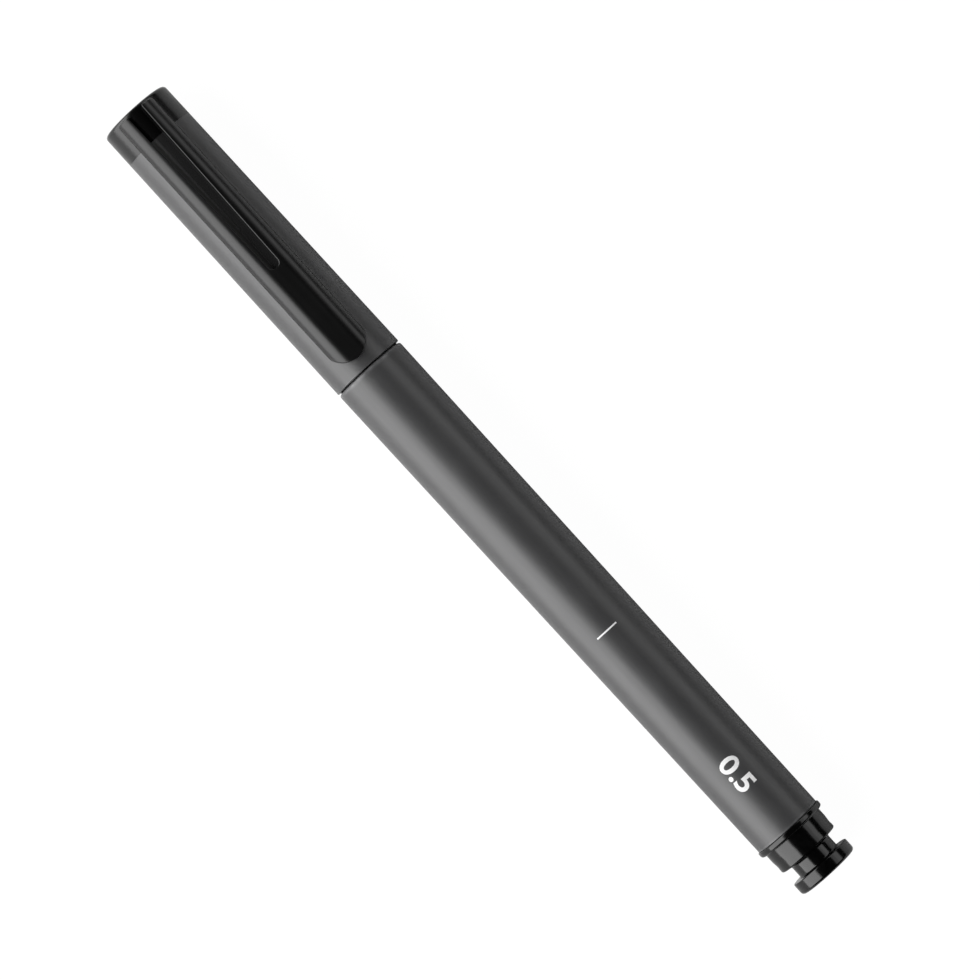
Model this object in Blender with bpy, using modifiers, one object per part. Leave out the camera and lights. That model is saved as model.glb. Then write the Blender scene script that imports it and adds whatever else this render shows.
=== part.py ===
"""Capped fineliner pen, lying on its side with the clip on top.

Sizes are in metres. The pen lies along X, the cap's closed end at -X and the tail at +X.
The origin is under the middle of the pen, on the surface that it lies on, and +Z is up.
A station is a distance along the pen, measured from the cap's closed end.
"""

from math import asin, atan2, cos, pi, radians, sin, tan

import bmesh
import bpy
from mathutils import Vector

MM = 0.001

# Lengths along the pen, from the cap's closed end to the tail
CROWN_LENGTH = 5.15 * MM
CAP_LENGTH = 47.2 * MM
STOP_GAP = 0.10 * MM
STOP_WIDTH = 0.15 * MM
BARREL_LENGTH = 84.22 * MM
FLANGE_WIDTH = 0.95 * MM
CUP_LENGTH = 3.29 * MM
TAIL_NECK_LENGTH = 2.19 * MM
DISC_THICKNESS = 1.9 * MM

# Outer radii and tapers
PEN_RADIUS = 5.53 * MM
CAP_TAPER = 0.14 * MM
BARREL_TAPER = 0.30 * MM
FLANGE_PROUD = 0.22 * MM
TAIL_NECK_RADIUS = 3.31 * MM
DISC_INSET = 0.08 * MM
STOP_INSET = 0.45 * MM
CUP_STRAIGHT = 1.3 * MM
CUP_WAIST_SETBACK = 1.0 * MM
CUP_WAIST_DEPTH = 0.10 * MM
CUP_LIP_DEPTH = 0.04 * MM
CUP_END_SLANT = 0.18 * MM

# Edge rounds
CROWN_EDGE = 0.50 * MM
MOUTH_EDGE = 0.10 * MM
MOUTH_LEAD_IN = 0.18 * MM
BARREL_FRONT_EDGE = 0.38 * MM
BARREL_BACK_EDGE = 0.08 * MM
FLANGE_FRONT_EDGE = 0.20 * MM
FLANGE_BACK_EDGE = 0.40 * MM
CUP_EDGE = 0.30 * MM
NECK_FILLET = 0.35 * MM
DISC_OUTER_EDGE = 0.50 * MM
DISC_INNER_EDGE = 0.20 * MM
NOSE_EDGE = 0.30 * MM

# Walls
CAP_WALL = 0.69 * MM
BARREL_WALL = 1.14 * MM
SOCKET_WALL = 1.04 * MM
CROWN_WALL = 1.30 * MM
PLUG_WALL = 1.30 * MM
SECTION_WALL = 0.62 * MM
LAND_WALL = 0.70 * MM
INNER_CAP_WALL = 0.75 * MM
INNER_CAP_FLOOR = 0.90 * MM
FILM_THICKNESS = 0.12 * MM

# Clearances: between parts pressed together, between end faces, and where the cap slides
FIT_GAP = 0.06 * MM
SEAT_GAP = 0.03 * MM
STEP_GAP = 0.10 * MM
POST_GAP = 0.04 * MM
SNAP_GAP = 0.06 * MM
SEAL_GAP = 0.08 * MM
RESERVOIR_PLAY = 0.40 * MM
NIB_HEADROOM = 1.70 * MM
INNER_CAP_STANDOFF = 0.60 * MM

# Spigots and sockets
CROWN_SPIGOT_LENGTH = 3.4 * MM
SECTION_SPIGOT_LENGTH = 10.0 * MM
PLUG_SPIGOT_LENGTH = 6.0 * MM
PLUG_BORE_DEPTH = 8.8 * MM
BORE_DRAFT = 0.20 * MM
MOUTH_BORE_LENGTH = 12.0 * MM

# Grip section, from the barrel's front to the nose
NECK_LENGTH = 9.5 * MM
BEAD_SETBACK = 4.0 * MM
BEAD_WIDTH = 1.2 * MM
BEAD_TOP_WIDTH = 0.4 * MM
BEAD_HEIGHT = 0.08 * MM
GRIP_STEP = 0.16 * MM
GRIP_FRONT_RADIUS = 3.30 * MM
LAND_RADIUS = 2.75 * MM
LAND_LENGTH = 4.0 * MM
CONE_LENGTH = 3.3 * MM
NOSE_RADIUS = 1.35 * MM

# Nib, sleeve, holder and wick
NIB_EXPOSED = 0.90 * MM
NIB_TIP_RADIUS = 0.18 * MM
NIB_TIP_FLAT = 0.04 * MM
NIB_BODY_RADIUS = 0.38 * MM
NIB_LENGTH = 13.0 * MM
SLEEVE_EXPOSED = 4.0 * MM
SLEEVE_WALL = 0.16 * MM
SLEEVE_TIP_WALL = 0.08 * MM
SLEEVE_LENGTH = 10.5 * MM
SLEEVE_SWAGE_LENGTH = 1.6 * MM
HOLDER_FLANGE_THICKNESS = 1.0 * MM
WICK_RADIUS = 1.00 * MM
WICK_REACH = 9.5 * MM
RESERVOIR_SETBACK = 6.0 * MM

# Clip: its section, its plan and the way it sits on the cap
CLIP_THICKNESS = 0.74 * MM
CLIP_GAP = 0.10 * MM
CLIP_FLAT_HALF = 1.02 * MM
CLIP_SHOULDER_RADIUS = 2.18 * MM
CLIP_SHOULDER_ANGLE = radians(73)
CLIP_MOUTH_SETBACK = 1.70 * MM
CLIP_END_BULGE = 2.30 * MM
CLIP_ROOT_GAP = 0.06 * MM
LEG_SETBACK = 0.55 * MM
LEG_OUTER_CORNER = 0.40 * MM
LEG_INNER_CORNER = 0.22 * MM
LEG_EMBED = 1.25 * MM
SLOT_LENGTH = 28.55 * MM
SLOT_ROOT_HALF = 1.25 * MM
SLOT_TIP_HALF = 0.78 * MM
SLOT_CORNER = 0.66 * MM
CLIP_RIM = 0.05 * MM

# Facets
MERGE_DISTANCE = 0.0003 * MM
TURN_STEPS = 48
FINE_TURN_STEPS = 24
ROUND_STEPS = 3
SHOULDER_STEPS = 7
END_STEPS = 14
RIM_STEPS = 2
RIM_ANGLE = radians(50)
SHARP_ANGLE = radians(30)

# Stations along the pen
STOP_FRONT = CAP_LENGTH + STOP_GAP
BARREL_FRONT = STOP_FRONT + STOP_WIDTH
BARREL_BACK = BARREL_FRONT + BARREL_LENGTH
FLANGE_BACK = BARREL_BACK + FLANGE_WIDTH
CUP_BACK = FLANGE_BACK + CUP_LENGTH
DISC_FRONT = CUP_BACK + TAIL_NECK_LENGTH
PEN_LENGTH = DISC_FRONT + DISC_THICKNESS
CROWN_SPIGOT_BACK = CROWN_LENGTH + CROWN_SPIGOT_LENGTH
INNER_CAP_FRONT = CROWN_SPIGOT_BACK + SEAT_GAP
NIB_TIP = INNER_CAP_FRONT + INNER_CAP_FLOOR + NIB_HEADROOM
SLEEVE_FRONT = NIB_TIP + NIB_EXPOSED
NOSE_FRONT = SLEEVE_FRONT + SLEEVE_EXPOSED
LAND_FRONT = NOSE_FRONT + CONE_LENGTH
GRIP_FRONT = LAND_FRONT + LAND_LENGTH
NECK_FRONT = BARREL_FRONT - NECK_LENGTH
BEAD_MIDDLE = BARREL_FRONT - BEAD_SETBACK
SECTION_BACK = BARREL_FRONT + SECTION_SPIGOT_LENGTH
HOLDER_FRONT = LAND_FRONT + STEP_GAP
HOLDER_FLANGE_BACK = BARREL_FRONT - RESERVOIR_SETBACK
HOLDER_FLANGE_FRONT = HOLDER_FLANGE_BACK - HOLDER_FLANGE_THICKNESS
NIB_BACK = NIB_TIP + NIB_LENGTH
WICK_FRONT = NIB_BACK + STEP_GAP
RESERVOIR_FRONT = HOLDER_FLANGE_BACK + STEP_GAP
WICK_BACK = RESERVOIR_FRONT + WICK_REACH
PLUG_FRONT = BARREL_BACK - PLUG_SPIGOT_LENGTH
RESERVOIR_BACK = PLUG_FRONT - RESERVOIR_PLAY

# Radii that follow from the driving ones
CAP_END_RADIUS = PEN_RADIUS - CAP_TAPER
BARREL_BACK_RADIUS = PEN_RADIUS - BARREL_TAPER
FLANGE_RADIUS = BARREL_BACK_RADIUS + FLANGE_PROUD
STOP_RADIUS = PEN_RADIUS - STOP_INSET
CAP_BORE = PEN_RADIUS - CAP_WALL
CAP_BORE_END = CAP_BORE - BORE_DRAFT
CUP_RADIUS = CAP_BORE - POST_GAP
DISC_RADIUS = CUP_RADIUS - DISC_INSET
BARREL_BORE = BARREL_BACK_RADIUS - BARREL_WALL
SOCKET_RADIUS = PEN_RADIUS - SOCKET_WALL
BEAD_RADIUS = CAP_BORE - SNAP_GAP
NECK_RADIUS = BEAD_RADIUS - BEAD_HEIGHT
SECTION_SPIGOT_RADIUS = SOCKET_RADIUS - FIT_GAP
SECTION_BORE = SECTION_SPIGOT_RADIUS - SECTION_WALL
FILM_RADIUS = SECTION_BORE - FIT_GAP
RESERVOIR_RADIUS = FILM_RADIUS - FILM_THICKNESS - SEAT_GAP
HOLDER_BORE = LAND_RADIUS - LAND_WALL
HOLDER_RADIUS = HOLDER_BORE - FIT_GAP
SLEEVE_BORE = NIB_BODY_RADIUS + FIT_GAP
SLEEVE_RADIUS = SLEEVE_BORE + SLEEVE_WALL
SLEEVE_HOLE = SLEEVE_RADIUS + FIT_GAP
SLEEVE_TIP_BORE = NIB_TIP_RADIUS + FIT_GAP
SLEEVE_TIP_RADIUS = SLEEVE_TIP_BORE + SLEEVE_TIP_WALL
WICK_HOLE = WICK_RADIUS + FIT_GAP
INNER_CAP_BORE = LAND_RADIUS + SEAL_GAP
CLIP_HALF_WIDTH = CLIP_FLAT_HALF + CLIP_SHOULDER_RADIUS * sin(CLIP_SHOULDER_ANGLE)

# The pen lies on the flat of a facet at its widest place
AXIS_HEIGHT = PEN_RADIUS * cos(pi / TURN_STEPS)
CAP_SLOPE = atan2(CAP_TAPER, CAP_LENGTH)
CLIP_STATION = CROWN_LENGTH + CLIP_ROOT_GAP


def clear_scene():
    """Remove what the scene holds."""
    for thing in list(bpy.data.objects):
        bpy.data.objects.remove(thing, do_unlink=True)


def new_collection(name):
    """Return a new collection that hangs under the scene's own."""
    collection = bpy.data.collections.new(name)
    bpy.context.scene.collection.children.link(collection)
    return collection


def new_material(name, colour, roughness, metallic=0.0):
    """Return a Principled material with the values given."""
    material = bpy.data.materials.new(name)
    material.use_nodes = True
    shader = material.node_tree.nodes["Principled BSDF"]
    shader.inputs["Base Color"].default_value = (*colour, 1.0)
    shader.inputs["Roughness"].default_value = roughness
    shader.inputs["Metallic"].default_value = metallic
    return material


def new_empty(name, location, tilt, parent=None):
    """Return an empty in the pen's collection, turned by tilt about Y."""
    empty = bpy.data.objects.new(name, None)
    empty.empty_display_size = PEN_RADIUS
    empty.location = location
    empty.rotation_euler = (0, tilt, 0)
    empty.parent = parent
    PEN.objects.link(empty)
    return empty


def rounded(corners):
    """Return corners (a, b, round) as points, each rounded corner as an arc."""
    points = []
    for index, (a, b, fillet) in enumerate(corners):
        corner = Vector((a, b))
        if not fillet:
            points.append(corner)
            continue
        back = (Vector(corners[index - 1][:2]) - corner).normalized()
        onward = (Vector(corners[(index + 1) % len(corners)][:2]) - corner).normalized()
        half_angle = back.angle(onward) / 2
        centre = corner + (back + onward).normalized() * fillet / sin(half_angle)
        start = corner + back * fillet / tan(half_angle) - centre
        end = corner + onward * fillet / tan(half_angle) - centre
        for step in range(ROUND_STEPS + 1):
            points.append(centre + fillet * start.slerp(end, step / ROUND_STEPS))
    return points


def mesh_object(name, mesh, collection, parent, material=None):
    """Return an object for a mesh, linked, parented and given its material."""
    thing = bpy.data.objects.new(name, mesh)
    thing.parent = parent
    if material:
        mesh.materials.append(material)
    collection.objects.link(thing)
    return thing


def turned(name, corners, material, parent, steps=TURN_STEPS):
    """Return a turned part: corners are (station, radius, round).

    They run along the outer side from the tail towards the cap's end, and back through
    the bore. A stretch between two corners on the axis is left open.
    """
    points = rounded(corners)
    bm = bmesh.new()
    verts = [bm.verts.new((radius, 0, station)) for station, radius in points]
    for one, other in zip(verts, verts[1:] + verts[:1]):
        if one.co.x or other.co.x:
            bm.edges.new((one, other))
    mesh = bpy.data.meshes.new(name)
    bm.to_mesh(mesh)
    bm.free()
    part = mesh_object(name, mesh, PEN, parent, material)
    part.rotation_euler.z = pi / steps
    screw = part.modifiers.new("turn", "SCREW")
    screw.steps = steps
    screw.render_steps = steps
    screw.use_merge_vertices = True
    screw.merge_threshold = MERGE_DISTANCE
    screw.use_smooth_shade = True
    return part


def prism(name, outline, low, high, place, collection, parent, material=None):
    """Return a prism on an outline, between low and high; place maps (a, b, depth) to x, y, z."""
    bm = bmesh.new()
    face = bm.faces.new([bm.verts.new(place(a, b, low)) for a, b in outline])
    lift = Vector(place(0, 0, high)) - Vector(place(0, 0, low))
    grown = bmesh.ops.extrude_face_region(bm, geom=[face], use_keep_orig=True)
    moved = [item for item in grown["geom"] if isinstance(item, bmesh.types.BMVert)]
    bmesh.ops.translate(bm, verts=moved, vec=lift)
    bmesh.ops.recalc_face_normals(bm, faces=bm.faces)
    mesh = bpy.data.meshes.new(name)
    bm.to_mesh(mesh)
    bm.free()
    return mesh_object(name, mesh, collection, parent, material)


def combine(part, tool, operation):
    """Cut, keep or join a part with a tool by a Boolean modifier."""
    boolean = part.modifiers.new(tool.name, "BOOLEAN")
    boolean.operation = operation
    boolean.solver = "EXACT"
    boolean.object = tool


def make_tool(tool):
    """Show a cutter or a guide as wire, and leave it out of renders."""
    tool.display_type = "WIRE"
    tool.hide_render = True


def cap_radius(station):
    """Outer radius of the closed cap at a station."""
    return CAP_END_RADIUS + CAP_TAPER * station / CAP_LENGTH


def cap_bore(station):
    """Radius of the cap's bore at a station: straight at the mouth, then drafted."""
    straight = CAP_LENGTH - MOUTH_BORE_LENGTH
    share = max(0, straight - station) / (straight - CROWN_LENGTH)
    return CAP_BORE - BORE_DRAFT * share


def make_barrel():
    """The barrel: a tapered tube, stepped where the cap stops, with a socket for the grip section."""
    corners = [
        (BARREL_BACK, BARREL_BACK_RADIUS, BARREL_BACK_EDGE),
        (BARREL_FRONT, PEN_RADIUS, BARREL_FRONT_EDGE),
        (BARREL_FRONT, STOP_RADIUS, 0),
        (STOP_FRONT, STOP_RADIUS, 0),
        (STOP_FRONT, SOCKET_RADIUS, 0),
        (SECTION_BACK + STEP_GAP, SOCKET_RADIUS, 0),
        (SECTION_BACK + STEP_GAP, BARREL_BORE, 0),
        (BARREL_BACK, BARREL_BORE, 0),
    ]
    turned("barrel", corners, GREY_PLASTIC, PEN_AXIS)


def make_tail_plug():
    """The tail plug: flange, cup for the posted cap, neck and end disc, with a hollow spigot."""
    spigot = BARREL_BORE - FIT_GAP
    corners = [
        (PEN_LENGTH, 0, 0),
        (PEN_LENGTH, DISC_RADIUS, DISC_OUTER_EDGE),
        (DISC_FRONT, DISC_RADIUS, DISC_INNER_EDGE),
        (DISC_FRONT, TAIL_NECK_RADIUS, NECK_FILLET),
        (CUP_BACK + CUP_END_SLANT, TAIL_NECK_RADIUS, NECK_FILLET),
        (CUP_BACK, CUP_RADIUS - CUP_LIP_DEPTH, CUP_EDGE),
        (CUP_BACK - CUP_WAIST_SETBACK, CUP_RADIUS - CUP_WAIST_DEPTH, 0),
        (FLANGE_BACK + CUP_STRAIGHT, CUP_RADIUS, 0),
        (FLANGE_BACK, CUP_RADIUS, 0),
        (FLANGE_BACK, FLANGE_RADIUS, FLANGE_BACK_EDGE),
        (BARREL_BACK + SEAT_GAP, FLANGE_RADIUS, FLANGE_FRONT_EDGE),
        (BARREL_BACK + SEAT_GAP, spigot, 0),
        (PLUG_FRONT, spigot, NOSE_EDGE),
        (PLUG_FRONT, spigot - PLUG_WALL, 0),
        (PLUG_FRONT + PLUG_BORE_DEPTH, spigot - PLUG_WALL, 0),
        (PLUG_FRONT + PLUG_BORE_DEPTH, 0, 0),
    ]
    turned("tail_plug", corners, BLACK_PLASTIC, PEN_AXIS)


def make_grip_section():
    """The grip section: spigot in the barrel, neck with snap bead, grip, seal land and nose."""
    half_bead = BEAD_WIDTH / 2
    half_top = BEAD_TOP_WIDTH / 2
    corners = [
        (SECTION_BACK, SECTION_SPIGOT_RADIUS, NOSE_EDGE),
        (STOP_FRONT - SEAT_GAP, SECTION_SPIGOT_RADIUS, 0),
        (STOP_FRONT - SEAT_GAP, NECK_RADIUS, 0),
        (BEAD_MIDDLE + half_bead, NECK_RADIUS, 0),
        (BEAD_MIDDLE + half_top, BEAD_RADIUS, 0),
        (BEAD_MIDDLE - half_top, BEAD_RADIUS, 0),
        (BEAD_MIDDLE - half_bead, NECK_RADIUS, 0),
        (NECK_FRONT, NECK_RADIUS, 0),
        (NECK_FRONT - GRIP_STEP, NECK_RADIUS - GRIP_STEP, 0),
        (GRIP_FRONT, GRIP_FRONT_RADIUS, NOSE_EDGE),
        (GRIP_FRONT, LAND_RADIUS, 0),
        (LAND_FRONT, LAND_RADIUS, NOSE_EDGE),
        (NOSE_FRONT, NOSE_RADIUS, NOSE_EDGE),
        (NOSE_FRONT, SLEEVE_HOLE, 0),
        (LAND_FRONT, SLEEVE_HOLE, 0),
        (LAND_FRONT, HOLDER_BORE, 0),
        (HOLDER_FLANGE_FRONT - STEP_GAP, HOLDER_BORE, 0),
        (HOLDER_FLANGE_FRONT - STEP_GAP, SECTION_BORE, 0),
        (SECTION_BACK, SECTION_BORE, 0),
    ]
    turned("grip_section", corners, SECTION_PLASTIC, PEN_AXIS)


def make_nib_holder():
    """The nib holder: a plug with a flange, bored for the sleeve and for the wick."""
    corners = [
        (HOLDER_FLANGE_BACK, SECTION_BORE - FIT_GAP, 0),
        (HOLDER_FLANGE_FRONT, SECTION_BORE - FIT_GAP, 0),
        (HOLDER_FLANGE_FRONT, HOLDER_RADIUS, 0),
        (HOLDER_FRONT, HOLDER_RADIUS, NOSE_EDGE),
        (HOLDER_FRONT, SLEEVE_HOLE, 0),
        (NIB_BACK, SLEEVE_HOLE, 0),
        (NIB_BACK, WICK_HOLE, 0),
        (HOLDER_FLANGE_BACK, WICK_HOLE, 0),
    ]
    turned("nib_holder", corners, HOLDER_PLASTIC, PEN_AXIS, FINE_TURN_STEPS)


def make_nib():
    """The nib in its steel sleeve, which is swaged in round the point."""
    sleeve_back = SLEEVE_FRONT + SLEEVE_LENGTH
    swage_back = SLEEVE_FRONT + SLEEVE_SWAGE_LENGTH
    sleeve = [
        (sleeve_back, SLEEVE_RADIUS, 0),
        (swage_back, SLEEVE_RADIUS, 0),
        (SLEEVE_FRONT, SLEEVE_TIP_RADIUS, 0),
        (SLEEVE_FRONT, SLEEVE_TIP_BORE, 0),
        (swage_back, SLEEVE_TIP_BORE, 0),
        (swage_back + NIB_BODY_RADIUS, SLEEVE_BORE, 0),
        (sleeve_back, SLEEVE_BORE, 0),
    ]
    turned("nib_sleeve", sleeve, STEEL, PEN_AXIS, FINE_TURN_STEPS)
    nib = [
        (NIB_BACK, 0, 0),
        (NIB_BACK, NIB_BODY_RADIUS, 0),
        (swage_back + NIB_BODY_RADIUS, NIB_BODY_RADIUS, 0),
        (swage_back + NIB_BODY_RADIUS, NIB_TIP_RADIUS, 0),
        (NIB_TIP, NIB_TIP_RADIUS, NIB_TIP_RADIUS - NIB_TIP_FLAT),
        (NIB_TIP, 0, 0),
    ]
    turned("nib", nib, NIB_FIBRE, PEN_AXIS, FINE_TURN_STEPS)


def make_ink_store():
    """The wick, the reservoir that it reaches into, and the film round the reservoir."""
    wick = [
        (WICK_BACK, 0, 0),
        (WICK_BACK, WICK_RADIUS, 0),
        (WICK_FRONT, WICK_RADIUS, 0),
        (WICK_FRONT, 0, 0),
    ]
    turned("feed_wick", wick, WHITE_FIBRE, PEN_AXIS, FINE_TURN_STEPS)
    reservoir = [
        (RESERVOIR_BACK, 0, 0),
        (RESERVOIR_BACK, RESERVOIR_RADIUS, 0),
        (RESERVOIR_FRONT, RESERVOIR_RADIUS, 0),
        (RESERVOIR_FRONT, WICK_HOLE, 0),
        (WICK_BACK + STEP_GAP, WICK_HOLE, 0),
        (WICK_BACK + STEP_GAP, 0, 0),
    ]
    turned("ink_reservoir", reservoir, INKED_FIBRE, PEN_AXIS)
    film = [
        (RESERVOIR_BACK, FILM_RADIUS, 0),
        (RESERVOIR_FRONT, FILM_RADIUS, 0),
        (RESERVOIR_FRONT, FILM_RADIUS - FILM_THICKNESS, 0),
        (RESERVOIR_BACK, FILM_RADIUS - FILM_THICKNESS, 0),
    ]
    turned("reservoir_film", film, CLEAR_FILM, PEN_AXIS)


def make_cap_shell():
    """The cap's tube, with a groove in its mouth for the snap bead."""
    shell_front = CROWN_LENGTH + SEAT_GAP
    half_bead = BEAD_WIDTH / 2
    half_top = BEAD_TOP_WIDTH / 2
    corners = [
        (CAP_LENGTH, PEN_RADIUS, MOUTH_EDGE),
        (shell_front, cap_radius(shell_front), 0),
        (shell_front, cap_bore(shell_front), 0),
        (CAP_LENGTH - MOUTH_BORE_LENGTH, CAP_BORE, 0),
        (BEAD_MIDDLE - half_bead, CAP_BORE, 0),
        (BEAD_MIDDLE - half_top, CAP_BORE + BEAD_HEIGHT, 0),
        (BEAD_MIDDLE + half_top, CAP_BORE + BEAD_HEIGHT, 0),
        (BEAD_MIDDLE + half_bead, CAP_BORE, 0),
        (CAP_LENGTH, CAP_BORE, MOUTH_LEAD_IN),
    ]
    turned("cap_shell", corners, GREY_PLASTIC, CAP_AXIS)


def make_cap_crown(fork):
    """The crown: a hollow plug in the cap's end, carrying the roots of the clip's legs."""
    spigot = CAP_BORE_END - FIT_GAP
    corners = [
        (CROWN_SPIGOT_BACK, spigot, NOSE_EDGE),
        (CROWN_LENGTH, spigot, 0),
        (CROWN_LENGTH, cap_radius(CROWN_LENGTH), 0),
        (0, CAP_END_RADIUS, CROWN_EDGE),
        (0, 0, 0),
        (CROWN_WALL, 0, 0),
        (CROWN_WALL, spigot - CROWN_WALL, NOSE_EDGE),
        (CROWN_SPIGOT_BACK, spigot - CROWN_WALL, 0),
    ]
    crown = turned("cap_crown", corners, BLACK_PLASTIC, CAP_AXIS)
    base = [(CLIP_HALF_WIDTH, -LEG_EMBED), (-CLIP_HALF_WIDTH, -LEG_EMBED)]
    outline = clip_top() + base
    leg_front = LEG_SETBACK - CLIP_STATION
    before_legs = leg_front - CLIP_THICKNESS
    roots = prism("leg_roots", outline, before_legs, -CLIP_ROOT_GAP, across, TOOLS, CLIP_ROOT)
    make_tool(roots)
    combine(roots, fork, "INTERSECT")
    combine(crown, roots, "UNION")


def make_inner_cap():
    """The inner cap: a thimble that closes round the nose, with a flange in the cap's bore."""
    flange_back = INNER_CAP_FRONT + INNER_CAP_FLOOR
    mouth = GRIP_FRONT - INNER_CAP_STANDOFF
    wall = INNER_CAP_BORE + INNER_CAP_WALL
    corners = [
        (mouth, wall, NOSE_EDGE),
        (flange_back, wall, 0),
        (flange_back, CAP_BORE_END - FIT_GAP, 0),
        (INNER_CAP_FRONT, CAP_BORE_END - FIT_GAP, 0),
        (INNER_CAP_FRONT, 0, 0),
        (flange_back, 0, 0),
        (flange_back, INNER_CAP_BORE, NOSE_EDGE),
        (mouth, INNER_CAP_BORE, 0),
    ]
    turned("inner_cap", corners, SEAL_PLASTIC, CAP_AXIS)


def across(a, b, depth):
    """Place a section point (a across, b up) at a distance along the clip."""
    return (depth, a, b)


def in_plan(a, b, depth):
    """Place a plan point (a along, b across) at a height over the clip's hinge."""
    return (a, b, depth)


def clip_top():
    """The clip's upper side as a section, from one edge over the flat top to the other."""
    half = []
    for step in range(SHOULDER_STEPS + 1):
        angle = CLIP_SHOULDER_ANGLE * step / SHOULDER_STEPS
        across_by = CLIP_FLAT_HALF + CLIP_SHOULDER_RADIUS * sin(angle)
        half.append((across_by, CLIP_THICKNESS - CLIP_SHOULDER_RADIUS * (1 - cos(angle))))
    mirrored = [(-a, b) for a, b in half]
    return mirrored[::-1] + half


def clip_underside():
    """The clip's underside as a section: an arc that clears the cap by CLIP_GAP all round."""
    radius = PEN_RADIUS + CLIP_GAP
    reach = asin(CLIP_HALF_WIDTH / radius)
    points = []
    for step in range(2 * SHOULDER_STEPS + 1):
        angle = reach * (1 - step / SHOULDER_STEPS)
        points.append((radius * sin(angle), radius * cos(angle) - radius))
    return points


def make_fork():
    """The clip's plan as a cutter: two legs, a tapered slot between them and a round end."""
    leg_front = LEG_SETBACK - CLIP_STATION
    end = CAP_LENGTH - CLIP_MOUTH_SETBACK - CLIP_STATION
    slot_tip = leg_front + SLOT_LENGTH
    end_radius = (CLIP_HALF_WIDTH ** 2 + CLIP_END_BULGE ** 2) / (2 * CLIP_END_BULGE)
    sweep = asin(CLIP_HALF_WIDTH / end_radius)
    nose = []
    for step in range(END_STEPS + 1):
        angle = sweep * (1 - 2 * step / END_STEPS)
        nose.append((end - end_radius * (1 - cos(angle)), end_radius * sin(angle), 0))
    legs = [
        (leg_front, -CLIP_HALF_WIDTH, LEG_OUTER_CORNER),
        (leg_front, -SLOT_ROOT_HALF, LEG_INNER_CORNER),
        (slot_tip, -SLOT_TIP_HALF, SLOT_CORNER),
        (slot_tip, SLOT_TIP_HALF, SLOT_CORNER),
        (leg_front, SLOT_ROOT_HALF, LEG_INNER_CORNER),
        (leg_front, CLIP_HALF_WIDTH, LEG_OUTER_CORNER),
    ]
    outline = rounded(nose + legs)
    fork = prism("fork_plan", outline, -PEN_RADIUS, PEN_RADIUS, in_plan, TOOLS, CLIP_ROOT)
    make_tool(fork)
    return fork


def make_clip(fork):
    """The clip: its section drawn along the cap, cut to its plan, with its rims rounded."""
    outline = clip_top() + clip_underside()
    clip = prism("clip", outline, 0, CAP_LENGTH, across, PEN, CLIP_ROOT, BLACK_PLASTIC)
    combine(clip, fork, "INTERSECT")
    rim = clip.modifiers.new("rim", "BEVEL")
    rim.width = CLIP_RIM
    rim.segments = RIM_STEPS
    rim.limit_method = "ANGLE"
    rim.angle_limit = RIM_ANGLE


def smooth_parts():
    """Give each part its finished mesh, smooth but for its sharp edges."""
    bpy.context.view_layer.update()
    depsgraph = bpy.context.evaluated_depsgraph_get()
    parts = [part for part in PEN.objects if part.type == "MESH"]
    finished = [bpy.data.meshes.new_from_object(part.evaluated_get(depsgraph)) for part in parts]
    for part, mesh in zip(parts, finished):
        part.modifiers.clear()
        part.data = mesh
        mesh.name = part.name
        mesh.shade_smooth()
        mesh.set_sharp_from_angle(angle=SHARP_ANGLE)


clear_scene()
PEN = new_collection("fineliner_pen")
TOOLS = new_collection("cutters")

GREY_PLASTIC = new_material("matte grey plastic", (0.075, 0.075, 0.078), 0.55)
BLACK_PLASTIC = new_material("gloss black plastic", (0.006, 0.006, 0.006), 0.10)
SECTION_PLASTIC = new_material("satin black plastic", (0.012, 0.012, 0.012), 0.30)
HOLDER_PLASTIC = new_material("natural plastic", (0.72, 0.72, 0.68), 0.45)
SEAL_PLASTIC = new_material("seal plastic", (0.55, 0.55, 0.53), 0.50)
STEEL = new_material("steel", (0.60, 0.60, 0.61), 0.22, 1.0)
NIB_FIBRE = new_material("inked nib", (0.015, 0.015, 0.017), 0.60)
WHITE_FIBRE = new_material("wick fibre", (0.70, 0.70, 0.68), 0.90)
INKED_FIBRE = new_material("inked fibre", (0.03, 0.03, 0.035), 0.90)
CLEAR_FILM = new_material("reservoir film", (0.75, 0.76, 0.78), 0.25)

PEN_AXIS = new_empty("pen_axis", (-PEN_LENGTH / 2, 0, AXIS_HEIGHT), pi / 2)
CAP_AXIS = new_empty("cap_axis", (0, 0, 0), 0, PEN_AXIS)
HINGE_HEIGHT = AXIS_HEIGHT + cap_radius(CLIP_STATION) + CLIP_GAP
CLIP_ROOT = new_empty("clip_root", (CLIP_STATION - PEN_LENGTH / 2, 0, HINGE_HEIGHT), -CAP_SLOPE)

make_barrel()
make_tail_plug()
make_grip_section()
make_nib_holder()
make_nib()
make_ink_store()
make_cap_shell()
FORK = make_fork()
make_cap_crown(FORK)
make_inner_cap()
make_clip(FORK)
smooth_parts()
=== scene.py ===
"""The looks of a capped fineliner pen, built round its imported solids.

Shapes are given in millimetres and become metres where a mesh is made. A station is a
distance along the pen from the cap's closed end. The pen lies along X with the clip on top.
"""

from math import asin, atan2, ceil, cos, pi, radians, sin, sqrt, tan

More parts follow.
